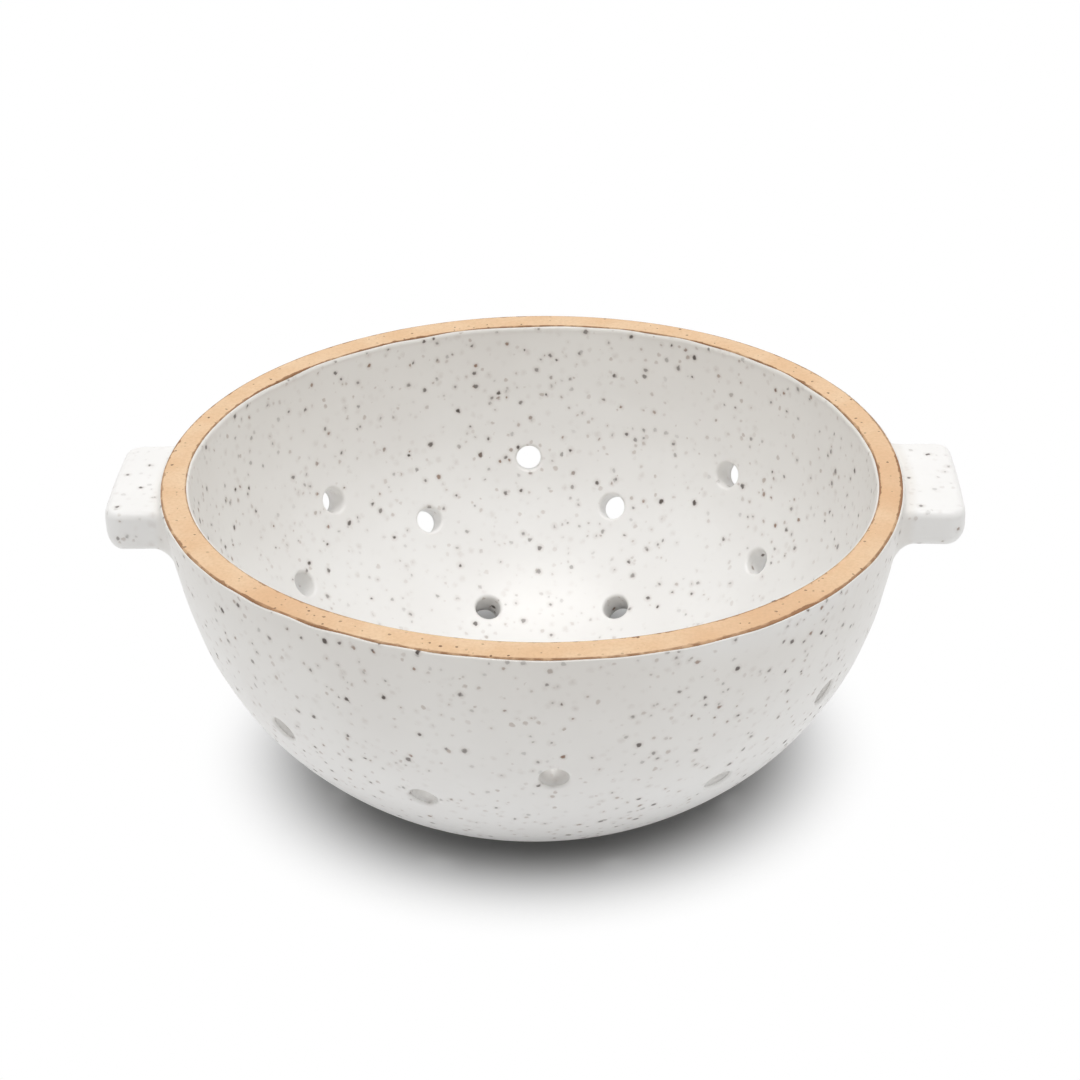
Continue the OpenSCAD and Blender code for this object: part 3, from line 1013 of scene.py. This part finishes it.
class POTTERY_OT_thrown_bowl(Operator):
    """Throw the bowl: clay wall, bare lip and turned foot, pierced for the drain holes"""

    bl_idname = "pottery.thrown_bowl"
    bl_label = "Thrown bowl"

    def execute(self, context):
        scene = context.scene
        wall = Wall(scene.berry_bowl)
        holes, glaze = scene.berry_holes, scene.berry_glaze
        points, faces = revolved(clay_outline(wall, holes, glaze))
        piece = new_piece(context, "thrown_bowl", points, faces)
        bore_through(
            context, piece, drills(wall, holes), holes.bore / 2 + glaze.coat,
            BORE_DEPTH * scene.berry_bowl.wall)
        shape = np.empty(len(piece.data.vertices) * 3)
        piece.data.vertices.foreach_get("co", shape)
        shape = shape.reshape(-1, 3)
        mark_lip(piece, shape, wall)
        shape = by_hand(shape, wall, scene.berry_lugs)
        piece.data.vertices.foreach_set("co", shape.ravel())
        piece.data.update()
        finish_piece(piece, clay_of(scene), "stoneware", "stoneware_bowl")
        return {"FINISHED"}


class POTTERY_OT_lugs(Operator):
    """Cut and lute on the two clay lugs"""

    bl_idname = "pottery.lugs"
    bl_label = "Lugs"

    def execute(self, context):
        scene = context.scene
        wall = Wall(scene.berry_bowl)
        for side, name in ((1, "right"), (-1, "left")):
            points, faces = lug_skin(wall, scene.berry_lugs, 0.0, side)
            points = by_hand(points, wall, scene.berry_lugs)
            piece = new_piece(context, f"{name}_lug", points, faces)
            thicken(piece, 2 * scene.berry_lugs.top_round)
            finish_piece(piece, clay_of(scene), "stoneware", f"{name}_handle")
        return {"FINISHED"}


class POTTERY_OT_outer_glaze(Operator):
    """Glaze the outside of the wall and both lugs"""

    bl_idname = "pottery.outer_glaze"
    bl_label = "Outer glaze"

    def execute(self, context):
        scene = context.scene
        wall, glaze, lugs = Wall(scene.berry_bowl), scene.berry_glaze, scene.berry_lugs
        face = wall.outside(glaze.coat, glaze.bare_foot)
        high = scene.berry_bowl.height - lugs.drop
        half, inset = lugs.width / 2, 1.5 * MM

        def under_lug(corners):
            x, y, z = corners[..., 0], corners[..., 1], corners[..., 2]
            return ((np.abs(y) < half - inset) & (z < high - inset)
                    & (z > high - lugs.thickness + inset) & (np.abs(x) > half))

        sheet = pierced_sheet(
            face, coat_rows(face.run), scene.berry_holes, drills(wall, scene.berry_holes),
            wandering_edge(glaze, OUTER_SEED, OUTER_ROLL), bare=under_lug)
        skins = [lug_skin(wall, lugs, glaze.coat, side) for side in (1, -1)]
        points, faces = joined([sheet] + skins)
        points = by_hand(points, wall, lugs)
        piece = new_piece(context, "outer_glaze", points, faces)
        thicken(piece, glaze.coat)
        finish_piece(piece, glaze_of(scene), "glaze", "outside_glaze")
        return {"FINISHED"}


class POTTERY_OT_inner_glaze(Operator):
    """Glaze the hollow of the bowl and line every drain hole"""

    bl_idname = "pottery.inner_glaze"
    bl_label = "Inner glaze"

    def execute(self, context):
        scene = context.scene
        wall, glaze, holes = Wall(scene.berry_bowl), scene.berry_glaze, scene.berry_holes
        face = wall.inside(glaze.coat)
        bore, edge = holes.bore / 2, holes.edge_round
        rows = coat_rows(face.run + face.at(face.run)[0] - bore - edge)
        lift = wandering_edge(glaze, INNER_SEED, INNER_ROLL)

        def inwards(run, turn):
            shift, off = lift(run, turn)
            return shift, -off

        points, faces = pierced_sheet(
            face, rows, holes, drills(wall, holes), inwards,
            far_face=wall.outside(glaze.coat, glaze.bare_foot))
        last = (len(rows) - 1) * COLUMNS + np.arange(COLUMNS)
        floor = scene.berry_bowl.floor + glaze.coat
        low = scene.berry_bowl.foot_recess
        down = [(bore + edge * (1 - math.sin(bend)), floor - edge * (1 - math.cos(bend)))
                for bend in FLOOR_BENDS]
        down += [(bore, floor - edge - (floor - edge - low) * part) for part in FLOOR_STEPS]
        for r, z in down:
            ring = np.arange(len(points), len(points) + COLUMNS)
            points = np.concatenate([points, spun(r, z, TURNS)])
            faces.append(band(last, ring))
            last = ring
        points = by_hand(points, wall, scene.berry_lugs)
        piece = new_piece(context, "inner_glaze", points, faces)
        thicken(piece, glaze.coat)
        finish_piece(piece, glaze_of(scene), "glaze", "inside_glaze")
        return {"FINISHED"}


class POTTERY_OT_studio(Operator):
    """Set up the white floor, the soft lamps and the camera"""

    bl_idname = "pottery.studio"
    bl_label = "Studio"

    def execute(self, context):
        scene, studio = context.scene, context.scene.berry_studio
        scene.view_settings.view_transform = "Standard"
        self.add_floor(context, studio)
        self.add_room(scene, studio)
        for name, setting, size, place in LAMPS:
            self.add_lamp(context, name, getattr(studio, setting), size, place)
        self.add_camera(context, studio)
        return {"FINISHED"}

    def add_floor(self, context, studio):
        """A white floor with a painted shadow: its own colour turns grey under the bowl."""
        half = studio.floor_size / 2
        corners = half * np.array([(-1, -1, 0), (1, -1, 0), (1, 1, 0), (-1, 1, 0)])
        floor = new_piece(context, "studio_floor", corners, [np.array([[0, 1, 2, 3]])])
        board = Board(bpy.data.materials.new("white_floor"))
        board.give("Roughness", 1.0)
        board.give("Specular IOR Level", 0.0)
        # Painted shadow: an oval about the foot where the floor's colour is grey, fading to white
        # further out
        x, y, _ = board.parts(board.place())
        behind = board.sum("SUBTRACT", y, studio.shadow_back)
        drawn_in = board.product(board.sum("MAXIMUM", behind, 0.0), studio.shadow_stretch)
        flat = board.put("ShaderNodeCombineXYZ", {
            0: board.product(x, 1 - studio.shadow_widen),
            1: board.sum("SUBTRACT", behind, drawn_in)}).outputs[0]
        white = board.span(board.vector("LENGTH", flat, output="Value"),
                           studio.shadow_near, studio.shadow_far)
        board.give("Base Color", board.mix(white, (studio.shadow_depth,) * 3, FLOOR_WHITE))
        glow = board.put("ShaderNodeEmission", {"Color": (1, 1, 1, 1), "Strength": 1.0})
        both = board.put("ShaderNodeMixShader", {
            0: board.product(board.seen(), white), 1: board.shader.outputs[0],
            2: glow.outputs[0]})
        board.feed(board.tree.nodes["Material Output"].inputs[0], both.outputs[0])
        floor.data.materials.append(board.owner)

    def add_room(self, scene, studio):
        """A white room that looks white and lights the bowl evenly."""
        scene.world = bpy.data.worlds.new("white_room")
        board = Board(scene.world)
        board.give("Color", (1, 1, 1, 1))
        strength = board.span(board.seen(), 0.0, 1.0, studio.sky, 1.0, smooth=False)
        board.give("Strength", strength)

    def add_lamp(self, context, name, watts, size, place):
        """A square lamp that looks at the bowl."""
        light = bpy.data.lights.new(name, "AREA")
        light.energy, light.size = watts, size
        lamp = bpy.data.objects.new(name, light)
        lamp.location = place
        aim = Vector(LAMP_AIM) - Vector(place)
        lamp.rotation_euler = aim.to_track_quat("-Z", "Y").to_euler()
        context.scene.collection.objects.link(lamp)

    def add_camera(self, context, studio):
        """The camera of the photograph's view."""
        camera = bpy.data.objects.new("camera", bpy.data.cameras.new("camera"))
        camera.data.lens = studio.lens
        camera.data.sensor_width = 36
        camera.data.clip_end = 100
        high, roll = studio.elevation, studio.roll
        side, up = Vector((1, 0, 0)), Vector((0, math.sin(high), math.cos(high)))
        back = Vector((0, -math.cos(high), math.sin(high)))
        axes = (math.cos(roll) * side + math.sin(roll) * up,
                math.cos(roll) * up - math.sin(roll) * side, back)
        turned = Matrix(axes).transposed().to_4x4()
        place = Vector((studio.aim_side, 0, studio.aim_height)) + studio.distance * back
        round_bowl = Matrix.Rotation(studio.turn, 4, "Z")
        camera.matrix_world = round_bowl @ Matrix.Translation(place) @ turned
        context.scene.collection.objects.link(camera)
        context.scene.camera = camera


class POTTERY_PT_berry_bowl(Panel):
    """Lists the steps that make the bowl"""

    bl_idname = "POTTERY_PT_berry_bowl"
    bl_label = "Berry colander bowl"
    bl_space_type = "VIEW_3D"
    bl_region_type = "UI"
    bl_category = "Pottery"

    def draw(self, context):
        for step in STEPS:
            self.layout.operator(step.bl_idname)
        for name, group in GROUPS:
            box = self.layout.box()
            box.label(text=group.__doc__)
            settings = getattr(context.scene, name)
            for key in group.__annotations__:
                box.prop(settings, key)


GROUPS = (
    ("berry_bowl", BowlSizes), ("berry_holes", HoleSizes), ("berry_lugs", LugSizes),
    ("berry_glaze", GlazeFinish), ("berry_clay", ClayFinish), ("berry_studio", StudioSettings),
)
STEPS = (
    POTTERY_OT_thrown_bowl, POTTERY_OT_lugs, POTTERY_OT_inner_glaze, POTTERY_OT_outer_glaze,
    POTTERY_OT_studio,
)


def register():
    for name, group in GROUPS:
        bpy.utils.register_class(group)
        setattr(bpy.types.Scene, name, PointerProperty(type=group))
    for step in STEPS:
        bpy.utils.register_class(step)
    bpy.utils.register_class(POTTERY_PT_berry_bowl)


def unregister():
    bpy.utils.unregister_class(POTTERY_PT_berry_bowl)
    for step in reversed(STEPS):
        bpy.utils.unregister_class(step)
    for name, group in reversed(GROUPS):
        delattr(bpy.types.Scene, name)
        bpy.utils.unregister_class(group)


def main():
    register()
    for name in ("thrown_bowl", "lugs", "inner_glaze", "outer_glaze", "studio"):
        getattr(bpy.ops.pottery, name)()
    bpy.context.view_layer.update()


if __name__ == "__main__":
    main()
